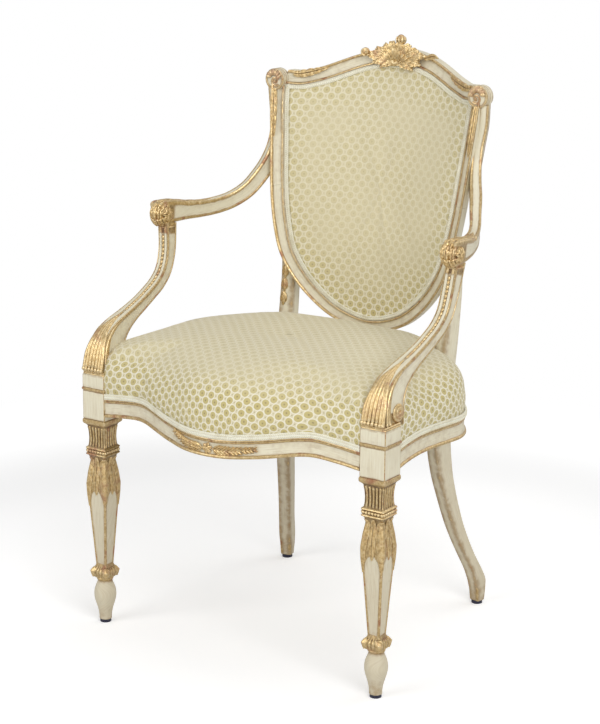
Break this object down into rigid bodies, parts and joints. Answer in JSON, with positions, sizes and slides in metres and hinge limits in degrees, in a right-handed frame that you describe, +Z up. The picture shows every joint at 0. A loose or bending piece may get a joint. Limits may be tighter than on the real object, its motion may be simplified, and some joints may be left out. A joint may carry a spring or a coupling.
{
  "type": "shield back armchair",
  "caption": "Open armchair with an upholstered shield-shaped back, domed serpentine seat, scrolled arms, square tapering front legs and swept rear legs.",
  "frame": {"origin": "on the floor under the middle of the chair's bounding box", "axes": "+Z up, +X to the sitter's left (right in a view from the front), the front of the chair faces -Y"},
  "size_m": [0.5948, 0.5804, 0.9636],
  "materials": {
    "painted_wood": "cream paint, worn, parcel gilt mouldings",
    "gilt_wood": "carved and water gilt, rubbed",
    "velvet": "cut velvet with a small all-over spot",
    "braid": "woven gimp braid",
    "linen": "plain jute and linen weave",
    "horsehair": "curled hair stuffing",
    "beech": "plain sawn beech",
    "steel": "slotted wood screw",
    "dark_glide": "dark blue nylon"
  },
  "bodies": {
    "root": {"back_braid": "braid", "back_canvas": "linen", "back_cover": "velvet", "back_stuffing": "horsehair", "bottom_shield_rail": "painted_wood", "crest_carving": "gilt_wood", "crest_rail": "painted_wood", "cross_webbing_1": "linen", "cross_webbing_2": "linen", "cross_webbing_3": "linen", "front_seat_rail": "painted_wood", "left_arm": "painted_wood", "left_arm_screw": "steel", "left_arm_support": "painted_wood", "left_back_stile": "painted_wood", "left_front_block_front_screw": "steel", "left_front_block_side_screw": "steel", "left_front_corner_block": "beech", "left_front_glide": "dark_glide", "left_front_leg": "painted_wood", "left_post_screw": "steel", "left_rear_block_rear_screw": "steel", "left_rear_block_side_screw": "steel", "left_rear_corner_block": "beech", "left_rear_glide": "dark_glide", "left_rear_leg": "painted_wood", "left_seat_rail": "painted_wood", "long_webbing_1": "linen", "long_webbing_2": "linen", "long_webbing_3": "linen", "outside_back_braid": "braid", "outside_back_cover": "velvet", "rear_seat_rail": "painted_wood", "right_arm": "painted_wood", "right_arm_screw": "steel", "right_arm_support": "painted_wood", "right_back_stile": "painted_wood", "right_front_block_front_screw": "steel", "right_front_block_side_screw": "steel", "right_front_corner_block": "beech", "right_front_glide": "dark_glide", "right_front_leg": "painted_wood", "right_post_screw": "steel", "right_rear_block_rear_screw": "steel", "right_rear_block_side_screw": "steel", "right_rear_corner_block": "beech", "right_rear_glide": "dark_glide", "right_rear_leg": "painted_wood", "right_seat_rail": "painted_wood", "seat_braid_front": "braid", "seat_braid_left": "braid", "seat_braid_rear": "braid", "seat_braid_right": "braid", "seat_canvas": "linen", "seat_cover": "velvet", "seat_stuffing": "horsehair"}
  },
  "joints": []
}
